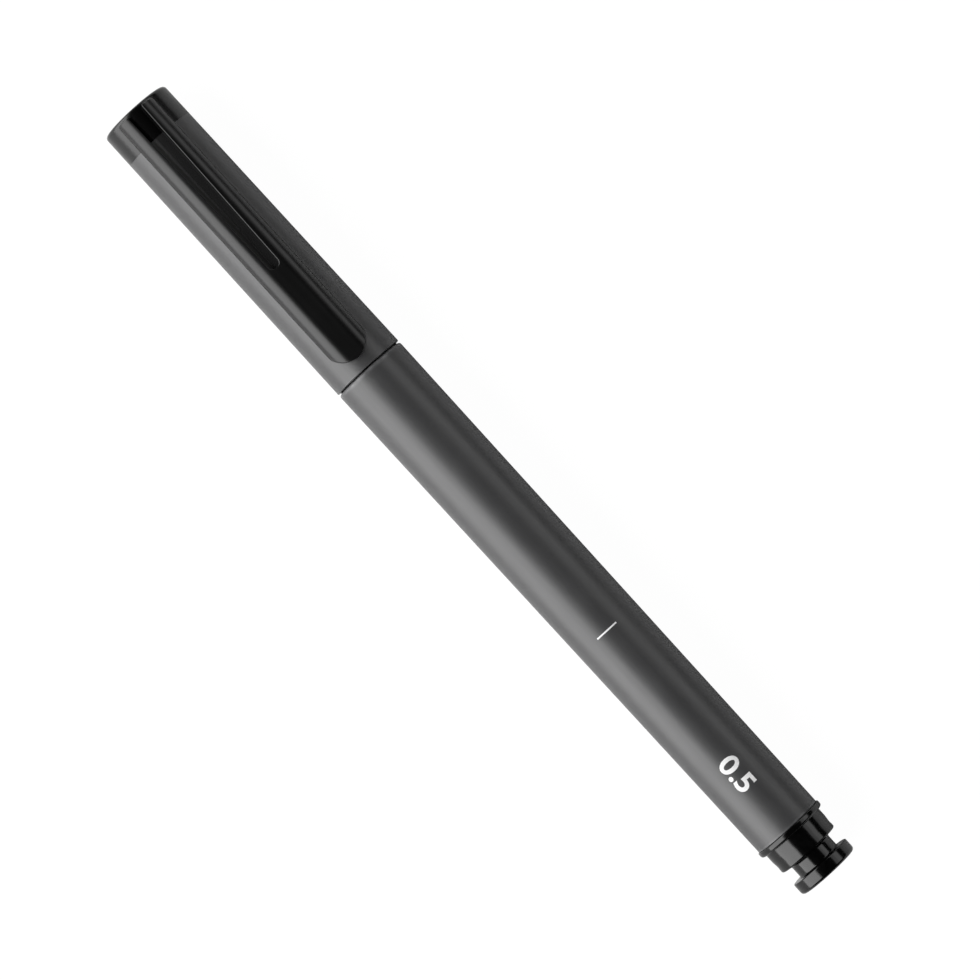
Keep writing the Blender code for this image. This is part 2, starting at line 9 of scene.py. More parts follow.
import bmesh
import bpy
from mathutils import Matrix, Vector
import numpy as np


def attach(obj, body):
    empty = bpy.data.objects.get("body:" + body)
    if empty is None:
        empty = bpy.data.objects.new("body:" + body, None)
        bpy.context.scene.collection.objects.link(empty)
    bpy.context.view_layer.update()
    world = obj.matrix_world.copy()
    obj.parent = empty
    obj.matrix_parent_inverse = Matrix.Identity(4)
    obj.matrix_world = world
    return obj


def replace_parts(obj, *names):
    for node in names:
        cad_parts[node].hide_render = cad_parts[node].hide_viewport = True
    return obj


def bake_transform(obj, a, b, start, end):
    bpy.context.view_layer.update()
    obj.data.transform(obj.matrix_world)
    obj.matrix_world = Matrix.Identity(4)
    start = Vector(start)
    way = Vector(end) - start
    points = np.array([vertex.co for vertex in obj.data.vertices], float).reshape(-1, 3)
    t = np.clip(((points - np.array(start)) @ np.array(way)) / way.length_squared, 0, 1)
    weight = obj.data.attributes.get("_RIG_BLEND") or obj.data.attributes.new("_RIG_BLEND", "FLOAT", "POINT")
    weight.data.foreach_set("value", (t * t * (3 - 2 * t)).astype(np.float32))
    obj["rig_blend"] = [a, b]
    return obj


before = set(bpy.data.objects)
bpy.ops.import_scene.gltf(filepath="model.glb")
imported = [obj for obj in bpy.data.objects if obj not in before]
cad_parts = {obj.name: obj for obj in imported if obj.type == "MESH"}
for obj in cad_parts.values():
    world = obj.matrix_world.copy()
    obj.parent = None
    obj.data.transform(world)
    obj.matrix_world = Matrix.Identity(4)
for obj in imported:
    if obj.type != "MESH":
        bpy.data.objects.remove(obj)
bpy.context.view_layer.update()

MM = 0.001

# Lengths along the pen, as in the solids
CROWN_LENGTH = 5.15
CROWN_SPIGOT_LENGTH = 3.4
CAP_LENGTH = 47.2
MOUTH_BORE_LENGTH = 12.0
STOP_GAP = 0.10
STOP_WIDTH = 0.15
BARREL_LENGTH = 84.22
FLANGE_WIDTH = 0.95
CUP_LENGTH = 3.29
CUP_STRAIGHT = 1.3
CUP_WAIST_SETBACK = 1.0
CUP_END_SLANT = 0.18
TAIL_NECK_LENGTH = 2.19
DISC_THICKNESS = 1.9
PLUG_SPIGOT_LENGTH = 6.0
PLUG_BORE_DEPTH = 8.8

# Radii, walls and tapers, as in the solids
PEN_RADIUS = 5.53
CAP_TAPER = 0.14
BARREL_TAPER = 0.30
FLANGE_PROUD = 0.22
STOP_INSET = 0.45
CAP_WALL = 0.69
BORE_DRAFT = 0.20
BARREL_WALL = 1.14
SOCKET_WALL = 1.04
PRESS_WALL = 1.30
POST_GAP = 0.04
FIT_GAP = 0.06
SEAT_GAP = 0.03
STEP_GAP = 0.10
CUP_WAIST_DEPTH = 0.10
CUP_LIP_DEPTH = 0.04
TAIL_NECK_RADIUS = 3.31
DISC_INSET = 0.08

# Edge rounds, as in the solids but for the mouth's, sharper here, and the waist's, there a bend
CROWN_EDGE = 0.50
MOUTH_EDGE = 0.05
MOUTH_LEAD_IN = 0.18
BARREL_FRONT_EDGE = 0.38
BARREL_BACK_EDGE = 0.08
FLANGE_FRONT_EDGE = 0.20
FLANGE_BACK_EDGE = 0.40
CUP_EDGE = 0.30
CUP_ROOT = 0.06
WAIST_BEND = 0.80
NECK_FILLET = 0.35
DISC_OUTER_EDGE = 0.50
DISC_INNER_EDGE = 0.20
NOSE_EDGE = 0.30

# The writing end, as in the solids
NECK_LENGTH = 9.5
SECTION_SPIGOT_LENGTH = 10.0
BEAD_SETBACK = 4.0
BEAD_WIDTH = 1.2
BEAD_TOP_WIDTH = 0.4
BEAD_HEIGHT = 0.08
GRIP_STEP = 0.16
RESERVOIR_SETBACK = 6.0
HOLDER_FLANGE_THICKNESS = 1.0
INNER_CAP_FLOOR = 0.90
NIB_HEADROOM = 1.70
NIB_EXPOSED = 0.90
SLEEVE_EXPOSED = 4.0
CONE_LENGTH = 3.3
LAND_LENGTH = 4.0
GRIP_FRONT_RADIUS = 3.30
LAND_RADIUS = 2.75
LAND_WALL = 0.70
NOSE_RADIUS = 1.35
SECTION_WALL = 0.62
SLEEVE_LENGTH = 10.5
SLEEVE_SWAGE_LENGTH = 1.6
SLEEVE_SWAGE_ROUND = 0.5
SLEEVE_WALL = 0.16
SLEEVE_TIP_WALL = 0.08
NIB_LENGTH = 13.0
NIB_RADIUS = 0.38
NIB_TIP_RADIUS = 0.18
NIB_TIP_ROUND = 0.14

# The clip, as in the solids but for its rims, which are softer here
CLIP_ROOT_GAP = 0.06
CLIP_THICKNESS = 0.74
CLIP_GAP = 0.10
CLIP_FLAT_HALF = 1.02
CLIP_SHOULDER_RADIUS = 2.18
CLIP_SHOULDER_ANGLE = radians(73)
CLIP_MOUTH_SETBACK = 1.70
CLIP_END_BULGE = 2.30
LEG_SETBACK = 0.55
LEG_OUTER_CORNER = 0.40
LEG_INNER_CORNER = 0.22
SLOT_LENGTH = 28.55
SLOT_ROOT_HALF = 1.25
SLOT_TIP_HALF = 0.78
SLOT_CORNER = 0.66
CLIP_RIM = 0.18
CLIP_BEND_LENGTH = 4.5
CLIP_LEAST_THICKNESS = 0.02
ROOT_EMBED = 0.30
ROOT_STEP_LENGTH = 0.04

# The marks printed on the barrel: places along it and across its top, and sizes
NUMBER_STATION = 121.45
NUMBER_ACROSS = -0.19
NUMBER_HEIGHT = 2.95
NUMBER_WIDTH = 5.20
NUMBER_BOLDNESS = 0.022
BAR_STATION = 95.4
BAR_ACROSS = -0.18
BAR_WIDTH = 0.22
BAR_HEIGHT = 3.5
PRINT_LIFT = 0.008

# What follows from these
STOP_FRONT = CAP_LENGTH + STOP_GAP
BARREL_FRONT = STOP_FRONT + STOP_WIDTH
BARREL_BACK = BARREL_FRONT + BARREL_LENGTH
FLANGE_BACK = BARREL_BACK + FLANGE_WIDTH
CUP_BACK = FLANGE_BACK + CUP_LENGTH
DISC_FRONT = CUP_BACK + TAIL_NECK_LENGTH
PEN_LENGTH = DISC_FRONT + DISC_THICKNESS
PLUG_FRONT = BARREL_BACK - PLUG_SPIGOT_LENGTH
CROWN_SPIGOT_BACK = CROWN_LENGTH + CROWN_SPIGOT_LENGTH
BEAD_MIDDLE = BARREL_FRONT - BEAD_SETBACK
SECTION_BACK = BARREL_FRONT + SECTION_SPIGOT_LENGTH
HOLDER_SHOULDER = BARREL_FRONT - RESERVOIR_SETBACK - HOLDER_FLANGE_THICKNESS - STEP_GAP
NIB_FRONT = CROWN_SPIGOT_BACK + SEAT_GAP + INNER_CAP_FLOOR + NIB_HEADROOM
SLEEVE_FRONT = NIB_FRONT + NIB_EXPOSED
NOSE_FRONT = SLEEVE_FRONT + SLEEVE_EXPOSED
LAND_FRONT = NOSE_FRONT + CONE_LENGTH
GRIP_FRONT = LAND_FRONT + LAND_LENGTH
CAP_END_RADIUS = PEN_RADIUS - CAP_TAPER
BARREL_BACK_RADIUS = PEN_RADIUS - BARREL_TAPER
FLANGE_RADIUS = BARREL_BACK_RADIUS + FLANGE_PROUD
STOP_RADIUS = PEN_RADIUS - STOP_INSET
CAP_BORE = PEN_RADIUS - CAP_WALL
CAP_BORE_END = CAP_BORE - BORE_DRAFT
CUP_RADIUS = CAP_BORE - POST_GAP
DISC_RADIUS = CUP_RADIUS - DISC_INSET
BARREL_BORE = BARREL_BACK_RADIUS - BARREL_WALL
SOCKET_RADIUS = PEN_RADIUS - SOCKET_WALL
BEAD_RADIUS = CAP_BORE - FIT_GAP
NECK_RADIUS = BEAD_RADIUS - BEAD_HEIGHT
SECTION_SPIGOT_RADIUS = SOCKET_RADIUS - FIT_GAP
SECTION_BORE = SECTION_SPIGOT_RADIUS - SECTION_WALL
HOLDER_BORE = LAND_RADIUS - LAND_WALL
SLEEVE_BORE = NIB_RADIUS + FIT_GAP
SLEEVE_RADIUS = SLEEVE_BORE + SLEEVE_WALL
SLEEVE_TIP_BORE = NIB_TIP_RADIUS + FIT_GAP
SLEEVE_TIP_RADIUS = SLEEVE_TIP_BORE + SLEEVE_TIP_WALL
CLIP_STATION = CROWN_LENGTH + CLIP_ROOT_GAP
CLIP_END = CAP_LENGTH - CLIP_MOUTH_SETBACK
SLOT_TIP = LEG_SETBACK + SLOT_LENGTH
CLIP_HALF_WIDTH = CLIP_FLAT_HALF + CLIP_SHOULDER_RADIUS * sin(CLIP_SHOULDER_ANGLE)

# The solids' rings have 48 sides and rest on one of them: the rounds here lie inside them
SOLID_TURN_STEPS = 48
ROUND_FIT = cos(pi / SOLID_TURN_STEPS)
AXIS_HEIGHT = PEN_RADIUS * ROUND_FIT
CAP_SLOPE = atan2(CAP_TAPER, CAP_LENGTH)

# How finely the meshes are cut
TURN_STEPS = 144
THIN_TURN_STEPS = 64
ARC_STEP = radians(10)
CORNER_STEPS = 8
NOSE_STEPS = 40
RIM_STEPS = 6
OUTLINE_SPACING = 0.25
CLIP_CUT_ALONG = 0.5
CLIP_CUT_ACROSS = 0.2
CLIP_CUT_TOLERANCE = 0.004
PRINT_CUT = 0.15
PRINT_CUT_TOLERANCE = 0.001
ON_AXIS = 1e-6

# Wear is 1 on a rounded edge, which is lightened as wear and on the barrel as a painted highlight: how far
# it reaches, and how much of it a sharp edge has
WORN_REACH = 0.35
SHARP_WEAR = 0.4

# The camera over the pen's middle, the pen across its picture, and what it looks at
CAMERA_DISTANCE = 724
CAMERA_LENS = 195.53
CAMERA_TURN = radians(47.584)
CAMERA_LEAN = radians(0.92)
CAMERA_TARGET = (0.66, 1.01)

# The soft lights' distance and their ends along X, and the floor's size and drop, in metres
LIGHT_DISTANCE = 0.85
LIGHT_START = -2.0
LIGHT_END = 0.46
FLOOR_SIZE = 8.0
FLOOR_DROP = 0.00002


def cap_radius(station):
    """Outer radius of the cap at a station."""
    return CAP_END_RADIUS + CAP_TAPER * station / CAP_LENGTH


def barrel_radius(station):
    """Outer radius of the barrel at a station."""
    return PEN_RADIUS - BARREL_TAPER * (station - BARREL_FRONT) / BARREL_LENGTH


def make_piece(name, verts, faces, normals, edge_wear_and_highlight):
    """Return a mesh object from points in millimetres, with its own normals and wear."""
    mesh = bpy.data.meshes.new(name)
    mesh.from_pydata([Vector(v) * MM for v in verts], [], faces)
    mesh.polygons.foreach_set("use_smooth", [True] * len(mesh.polygons))
    mesh.normals_split_custom_set([n for loops in normals for n in loops])
    mesh.attributes.new("edge_wear_and_highlight", "FLOAT", "POINT").data.foreach_set("value", edge_wear_and_highlight)
    piece = bpy.data.objects.new(name, mesh)
    bpy.context.scene.collection.objects.link(piece)
    return piece


def corner_cut(corners, index):
    """Where the round of a corner starts and ends, as two points."""
    point = Vector(corners[index][:2])
    fillet = corners[index][2]
    back = (Vector(corners[index - 1][:2]) - point).normalized()
    onward = (Vector(corners[(index + 1) % len(corners)][:2]) - point).normalized()
    if not fillet:
        return point, point
    setback = fillet / tan(back.angle(onward) / 2)
    return point + back * setback, point + onward * setback


def turned_path(corners):
    """Return (point, normal before, normal after, wear) along corners (station, radius, round)."""
    count = len(corners)
    cuts = [corner_cut(corners, index) for index in range(count)]
    path = []
    for index in range(count):
        start, end = cuts[index]
        before = start - cuts[index - 1][1]
        after = cuts[(index + 1) % count][0] - end
        one = Vector((before.y, -before.x)).normalized()
        other = Vector((after.y, -after.x)).normalized()
        if corners[index][2]:
            turn = one.angle(other)
            steps = max(2, ceil(turn / ARC_STEP))
            sign = 1 if one.cross(other) > 0 else -1
            centre = start - sign * corners[index][2] * one
            for step in range(steps + 1):
                normal = one.slerp(other, step / steps)
                path.append((centre + sign * corners[index][2] * normal, normal, normal, 1.0))
        else:
            path.append((start, one, other, SHARP_WEAR if corners[index][1] else 0.0))
        length = after.length
        if length > 4 * WORN_REACH:
            direction = after.normalized()
            for along in (WORN_REACH, length - WORN_REACH):
                path.append((end + direction * along, other, other, 0.0))
    return path


def turned(name, corners, body, material, steps=TURN_STEPS):
    """Return a turned piece that rides on a body, its corners in the solids' order."""
    path = turned_path(corners)
    verts = []
    edge_wear_and_highlight = []
    rings = []
    for point, _, _, wear in path:
        on_axis = point.y < ON_AXIS
        count = 1 if on_axis else steps
        rings.append([len(verts) + step % count for step in range(steps)])
        for step in range(count):
            angle = 2 * pi * step / steps
            radius = point.y * ROUND_FIT
            height = AXIS_HEIGHT + radius * cos(angle)
            verts.append((point.x - PEN_LENGTH / 2, radius * sin(angle), height))
            edge_wear_and_highlight.append(wear)
    faces = []
    normals = []
    for index in range(len(path)):
        after = (index + 1) % len(path)
        if path[index][0].y < ON_AXIS and path[after][0].y < ON_AXIS:
            continue
        for step in range(steps):
            onward = (step + 1) % steps
            corners_of_face = [(index, step), (index, onward), (after, onward), (after, step)]
            face = []
            loops = []
            for ring, place in corners_of_face:
                vert = rings[ring][place]
                if vert in face:
                    continue
                normal = path[ring][2] if ring == index else path[ring][1]
                angle = 2 * pi * place / steps
                if path[ring][0].y < ON_AXIS:
                    angle = 2 * pi * (step + 0.5) / steps
                face.append(vert)
                loops.append((normal.x, normal.y * sin(angle), normal.y * cos(angle)))
            faces.append(face)
            normals.append(loops)
    piece = make_piece(name, verts, faces, normals, edge_wear_and_highlight)
    piece.data.materials.append(material)
    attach(piece, body)
    return piece


def smooth_corners(corners, steps):
    """Return the points of an outline whose corners (a, b, round) are rounded."""
    points = []
    for index, (a, b, fillet) in enumerate(corners):
        if not fillet:
            points.append(Vector((a, b)))
            continue
        start, end = corner_cut(corners, index)
        corner = Vector((a, b))
        middle = (start + end) / 2
        lift = fillet / sin((start - corner).angle(end - corner) / 2)
        centre = corner + (middle - corner).normalized() * lift
        for step in range(steps + 1):
            arm = (start - centre).slerp(end - centre, step / steps).normalized()
            points.append(centre + arm * fillet)
    return points


def dense(points, spacing):
    """Return a closed outline with no stretch longer than the spacing."""
    result = []
    for one, other in zip(points, points[1:] + points[:1]):
        count = max(1, ceil((other - one).length / spacing))
        for step in range(count):
            result.append(one.lerp(other, step / count))
    return result


def clip_outline():
    """The clip's plan, anticlockwise from above, along from its hinge and across."""
    front = LEG_SETBACK - CLIP_STATION
    end = CLIP_END - CLIP_STATION
    tip = SLOT_TIP - CLIP_STATION
    radius = (CLIP_HALF_WIDTH ** 2 + CLIP_END_BULGE ** 2) / (2 * CLIP_END_BULGE)
    sweep = asin(CLIP_HALF_WIDTH / radius)
    nose = []
    for step in range(NOSE_STEPS + 1):
        angle = sweep * (1 - 2 * step / NOSE_STEPS)
        nose.append((end - radius * (1 - cos(angle)), radius * sin(angle), 0))
    legs = [
        (front, -CLIP_HALF_WIDTH, LEG_OUTER_CORNER),
        (front, -SLOT_ROOT_HALF, LEG_INNER_CORNER),
        (tip, -SLOT_TIP_HALF, SLOT_CORNER),
        (tip, SLOT_TIP_HALF, SLOT_CORNER),
        (front, SLOT_ROOT_HALF, LEG_INNER_CORNER),
        (front, CLIP_HALF_WIDTH, LEG_OUTER_CORNER),
    ]
    return dense(smooth_corners(nose + legs, CORNER_STEPS), OUTLINE_SPACING)[::-1]


def clip_top(across):
    """Height and slope angle of the clip's upper side at a distance across it."""
    if abs(across) < CLIP_FLAT_HALF:
        return CLIP_THICKNESS, 0.0
    angle = asin(min(1, (abs(across) - CLIP_FLAT_HALF) / CLIP_SHOULDER_RADIUS))
    height = CLIP_THICKNESS - CLIP_SHOULDER_RADIUS * (1 - cos(angle))
    return height, angle if across > 0 else -angle


def cut(bm, place, normal, distance):
    """Cut a mesh along a plane; points within a distance of it count as on it."""
    geometry = bm.verts[:] + bm.edges[:] + bm.faces[:]
    bmesh.ops.bisect_plane(bm, geom=geometry, dist=distance, plane_co=place, plane_no=normal)


def sheet_loops(bm):
    """The point numbers round each face of a sheet, and those of each edge on its rim."""
    loops = [[vert.index for vert in face.verts] for face in bm.faces]
    rim = []
    for edge in bm.edges:
        if edge.is_boundary:
            start = edge.link_loops[0]
            rim.append((start.vert.index, start.link_loop_next.vert.index))
    return loops, rim


def clip_sheet(root):
    """A flat sheet of the clip's plan that stores its rim's turn, and the way out, at each point."""
    outline = clip_outline()
    count = len(outline)
    bm = bmesh.new()
    rim_layer = bm.verts.layers.float.new("rim")
    out_layer = bm.verts.layers.float_vector.new("out")
    rings = []
    for ring in range(RIM_STEPS + 1):
        turn = pi / 2 * ring / RIM_STEPS
        inset = CLIP_RIM * (1 - cos(turn))
        verts = []
        for index, point in enumerate(outline):
            tangent = (outline[(index + 1) % count] - outline[index - 1]).normalized()
            out = Vector((tangent.y, -tangent.x, 0))
            vert = bm.verts.new(Vector((point.x, point.y, 0)) - out * inset)
            vert[rim_layer] = turn
            vert[out_layer] = out
            verts.append(vert)
        rings.append(verts)
    for outer, inner in zip(rings, rings[1:]):
        for index in range(count):
            after = (index + 1) % count
            bm.faces.new((outer[index], outer[after], inner[after], inner[index]))
    bm.faces.new(rings[-1])
    front = LEG_SETBACK - CLIP_STATION
    end = CLIP_END - CLIP_STATION
    places = [root, root + ROOT_STEP_LENGTH]
    places += [front + CLIP_CUT_ALONG * step for step in range(1, int((end - front) / CLIP_CUT_ALONG))]
    for place in places:
        cut(bm, (place, 0, 0), (1, 0, 0), CLIP_CUT_TOLERANCE)
    reach = int(CLIP_HALF_WIDTH / CLIP_CUT_ACROSS)
    for step in range(-reach, reach + 1):
        cut(bm, (0, CLIP_CUT_ACROSS * step, 0), (0, 1, 0), CLIP_CUT_TOLERANCE)
    bm.verts.index_update()
    return bm


def make_clip(material):
    """The clip with the roots of its legs, as one moulding that bends where they leave the crown."""
    root = CROWN_LENGTH - CLIP_STATION
    bm = clip_sheet(root)
    rim_layer = bm.verts.layers.float["rim"]
    out_layer = bm.verts.layers.float_vector["out"]
    top_of_cap = AXIS_HEIGHT + cap_radius(CLIP_STATION)
    hinge = Vector((CLIP_STATION - PEN_LENGTH / 2, 0, top_of_cap + CLIP_GAP))
    tilt = Matrix.Rotation(-CAP_SLOPE, 3, "Y")
    tops = []
    undersides = []
    top_normals = []
    under_normals = []
    side_normals = []
    for vert in bm.verts:
        height, slope = clip_top(vert.co.y)
        turn = vert[rim_layer]
        up = Vector((0, sin(slope), cos(slope)))
        out = vert[out_layer].normalized()
        normal = (out * cos(turn) + up * sin(turn)).normalized()
        drop = CLIP_RIM * (1 - sin(turn))
        radius = CAP_END_RADIUS - ROOT_EMBED
        if vert.co.x > root + ROOT_STEP_LENGTH / 2:
            radius = PEN_RADIUS + CLIP_GAP
        rise = sqrt(radius ** 2 - vert.co.y ** 2)
        low = rise - PEN_RADIUS - CLIP_GAP
        high = max(height - drop, low + CLIP_LEAST_THICKNESS)
        tops.append(hinge + tilt @ Vector((vert.co.x, vert.co.y, high)))
        undersides.append(hinge + tilt @ Vector((vert.co.x, vert.co.y, low)))
        top_normals.append(tilt @ normal)
        under_normals.append(tilt @ Vector((0, -vert.co.y, -rise)) / radius)
        side_normals.append(tilt @ out)
    shift = len(tops)
    faces = []
    normals = []
    loops, rim = sheet_loops(bm)
    for loop in loops:
        faces.append(loop)
        normals.append([top_normals[index] for index in loop])
        faces.append([index + shift for index in reversed(loop)])
        normals.append([under_normals[index] for index in reversed(loop)])
    for one, other in rim:
        faces.append([other, one, one + shift, other + shift])
        normals.append([side_normals[index] for index in (other, one, one, other)])
    edge_wear_and_highlight = [max(0.0, 1 - vert[rim_layer] / (pi / 2)) for vert in bm.verts] + [0.0] * shift
    bm.free()
    piece = make_piece("clip_bar", tops + undersides, faces, normals, edge_wear_and_highlight)
    piece.data.materials.append(material)
    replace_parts(piece, "clip")
    bend_start = hinge * MM
    bend_end = bend_start + Vector((CLIP_BEND_LENGTH * MM, 0, 0))
    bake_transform(piece, "cap", "clip", start=bend_start, end=bend_end)


def wrapped_mark(name, flat, station, across, material):
    """Wrap a flat mesh, in millimetres and centred, round the barrel at a station, as a thin print."""
    bm = bmesh.new()
    bm.from_mesh(flat)
    reach = max(abs(vert.co.y) for vert in bm.verts)
    for step in range(int(-reach / PRINT_CUT), int(reach / PRINT_CUT) + 1):
        cut(bm, (0, PRINT_CUT * step, 0), (0, 1, 0), PRINT_CUT_TOLERANCE)
    bm.verts.index_update()
    verts = []
    for lift in (PRINT_LIFT, -PRINT_LIFT):
        for vert in bm.verts:
            level = barrel_radius(station + vert.co.x) * ROUND_FIT + lift
            angle = (vert.co.y + across) / barrel_radius(station)
            along = station + vert.co.x - PEN_LENGTH / 2
            verts.append(Vector((along, level * sin(angle), AXIS_HEIGHT + level * cos(angle))) * MM)
    shift = len(bm.verts)
    loops, rim = sheet_loops(bm)
    bm.free()
    faces = loops + [[index + shift for index in reversed(loop)] for loop in loops]
    faces += [[other, one, one + shift, other + shift] for one, other in rim]
    mesh = bpy.data.meshes.new(name)
    mesh.from_pydata(verts, [], faces)
    mesh.shade_smooth()
    mesh.set_sharp_from_angle(angle=radians(30))
    mesh.materials.append(material)
    piece = bpy.data.objects.new(name, mesh)
    bpy.context.scene.collection.objects.link(piece)
    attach(piece, "barrel")


def number_shape(text, height, width, boldness):
    """Return a flat mesh of plain digits, centred, in millimetres."""
    curve = bpy.data.curves.new("digits", "FONT")
    curve.body = text
    curve.offset = boldness
    curve.resolution_u = 6
    holder = bpy.data.objects.new("digits", curve)
    bpy.context.scene.collection.objects.link(holder)
    bpy.context.view_layer.update()
    mesh = bpy.data.meshes.new_from_object(holder.evaluated_get(bpy.context.evaluated_depsgraph_get()))
    bpy.data.objects.remove(holder)
    xs = [vert.co.x for vert in mesh.vertices]
    ys = [vert.co.y for vert in mesh.vertices]
    middle = Vector(((max(xs) + min(xs)) / 2, (max(ys) + min(ys)) / 2, 0))
    scale = Vector((width / (max(xs) - min(xs)), height / (max(ys) - min(ys)), 1))
    for vert in mesh.vertices:
        vert.co = (vert.co - middle) * scale
    return mesh


def flat_rectangle(name, width, height):
    """Return a flat rectangle mesh, centred."""
    mesh = bpy.data.meshes.new(name)
    a = width / 2
    b = height / 2
    mesh.from_pydata([(-a, -b, 0), (a, -b, 0), (a, b, 0), (-a, b, 0)], [], [(0, 1, 2, 3)])
    return mesh


class Finish:
    """A material's node tree, with short calls to add nodes and join them."""

    def __init__(self, name):
        self.material = bpy.data.materials.new(name)
        self.material.use_nodes = True
        self.tree = self.material.node_tree
        self.shader = self.tree.nodes["Principled BSDF"]
        self.place = self.node("ShaderNodeTexCoord").outputs["Object"]

    def node(self, kind, inputs=(), **settings):
        """Add a node, set its settings, and set or join its inputs."""
        made = self.tree.nodes.new(kind)
        for key, value in settings.items():
            setattr(made, key, value)
        for key, value in dict(inputs).items():
            if isinstance(value, bpy.types.NodeSocket):
                self.tree.links.new(value, made.inputs[key])
            else:
                made.inputs[key].default_value = value
        return made

    def noise(self, size, detail=3.0, place=None):
        """Noise with features of a size in millimetres."""
        inputs = {"Vector": place or self.place, "Scale": 1 / (size * MM), "Detail": detail}
        return self.node("ShaderNodeTexNoise", inputs).outputs["Fac"]

    def stretched(self, along, across):
        """Coordinates that stretch a pattern along the pen."""
        inputs = {"Vector": self.place, "Scale": (1 / along, 1 / across, 1 / across)}
        return self.node("ShaderNodeMapping", inputs).outputs["Vector"]

    def ranged(self, value, low, high, start=0.3, end=0.7):
        """Map a value from start..end to low..high."""
        inputs = {"Value": value, "From Min": start, "From Max": end, "To Min": low, "To Max": high}
        return self.node("ShaderNodeMapRange", inputs).outputs["Result"]

    def mixed(self, factor, one, other):
        """Mix two colours."""
        mix = self.node("ShaderNodeMix", {"Factor": factor}, data_type="RGBA")
        for socket, colour in ((mix.inputs[6], one), (mix.inputs[7], other)):
            if isinstance(colour, bpy.types.NodeSocket):
                self.tree.links.new(colour, socket)
            else:
                socket.default_value = (*colour, 1.0)
        return mix.outputs[2]

    def maths(self, operation, one, other):
        """Join two values by a maths operation."""
        return self.node("ShaderNodeMath", {0: one, 1: other}, operation=operation).outputs["Value"]

    def set(self, **values):
        """Set or join the shader's own sockets."""
        for key, value in values.items():
            socket = self.shader.inputs[key.replace("_", " ")]
            if isinstance(value, bpy.types.NodeSocket):
                self.tree.links.new(value, socket)
            else:
                socket.default_value = value

    def bumps(self, *layers):
        """Chain bumps (height, depth in millimetres) into the shader's normal."""
        normal = None
        for height, depth in layers:
            inputs = {"Height": height, "Distance": depth * MM, "Strength": 1.0}
            if normal:
                inputs["Normal"] = normal
            normal = self.node("ShaderNodeBump", inputs).outputs["Normal"]
        self.tree.links.new(normal, self.shader.inputs["Normal"])

    def overlay(self, mask, colour, roughness_factor):
        """Mix a colour into the base and scale the roughness where a mask is one."""
        base = self.shader.inputs["Base Color"].links[0].from_socket
        roughness = self.shader.inputs["Roughness"].links[0].from_socket
        scaled = self.maths("MULTIPLY", roughness, self.ranged(mask, 1.0, roughness_factor, 0.0, 1.0))
        self.set(Base_Color=self.mixed(mask, base, colour), Roughness=scaled)

    def wear(self, size):
        """Rounded edges, broken up by noise: wear, and on the barrel a painted highlight."""
        edge = self.node("ShaderNodeAttribute", attribute_name="edge_wear_and_highlight").outputs["Fac"]
        return self.maths("MULTIPLY", edge, self.ranged(self.noise(size), 0.1, 1.0))


def tinted(colour, factor):
    """Return a colour scaled by a factor."""
    return tuple(min(1.0, c * factor) for c in colour)


def moulded_plastic(name, colour, rough, spread, grain, depth, ripple, edge_wear_and_highlight_gain, ior=1.5):
    """Moulded plastic: mottled, finely grained (size and depth in millimetres), its rounded edges lighter by
    a gain: rubbed wear, and on the barrel a painted highlight.
    """
    finish = Finish(name)
    mottle = finish.noise(6.0, 4.0)
    fine = finish.noise(grain, 2.0)
    drawn = finish.noise(0.5, 2.0, finish.stretched(30, 1))
    edge_wear_and_highlight = finish.wear(0.8)
    base = finish.mixed(finish.ranged(mottle, 0.0, 1.0), tinted(colour, 0.93), tinted(colour, 1.07))
    base = finish.mixed(finish.ranged(fine, 0.0, 0.35), base, tinted(colour, 1.25))
    # Lighter rounded edges: rubbed wear, and with the barrel's large gain a painted highlight.
    base = finish.mixed(edge_wear_and_highlight, base, tinted(colour, edge_wear_and_highlight_gain))
    clouded = finish.ranged(mottle, -spread, spread)
    varied = finish.maths("ADD", clouded, finish.ranged(drawn, -spread, spread))
    roughness = finish.maths("ADD", varied, rough)
    roughness = finish.maths("MULTIPLY", roughness, finish.ranged(edge_wear_and_highlight, 1.0, 0.8, 0.0, 1.0))
    finish.set(Base_Color=base, Roughness=roughness, IOR=ior)
    finish.bumps((finish.noise(2.2, 2.0), ripple), (fine, depth))
    return finish


def matte_grey(name, edge_wear_and_highlight_gain):
    """The matte dark grey of the barrel and the cap's tube, with a faint bloom at grazing angles."""
    finish = moulded_plastic(
        name,
        colour=(0.043, 0.043, 0.044),
        rough=0.41,
        spread=0.025,
        grain=0.07,
        depth=0.0012,
        ripple=0.0012,
        edge_wear_and_highlight_gain=edge_wear_and_highlight_gain,
        ior=1.61,
    )
    finish.set(Sheen_Weight=0.12, Sheen_Roughness=0.4)
    return finish


def barrel_plastic():
    """The barrel's matte grey, lighter along its rounded edges: a little rubbed wear, and on its front edge
    a painted highlight.
    """
    return matte_grey("matte_grey", 2.6).material


def seat_painted_shade():
    """The dull black given to the ring that the cap stops at: painted shade in the seam between the cap and
    the barrel.
    """
    return moulded_plastic(
        "seat_painted_shade",
        colour=(0.002, 0.002, 0.002),
        rough=0.85,
        spread=0.02,
        grain=0.10,
        depth=0.0012,
        ripple=0.0012,
        edge_wear_and_highlight_gain=1.2,
        ior=1.15,
    ).material


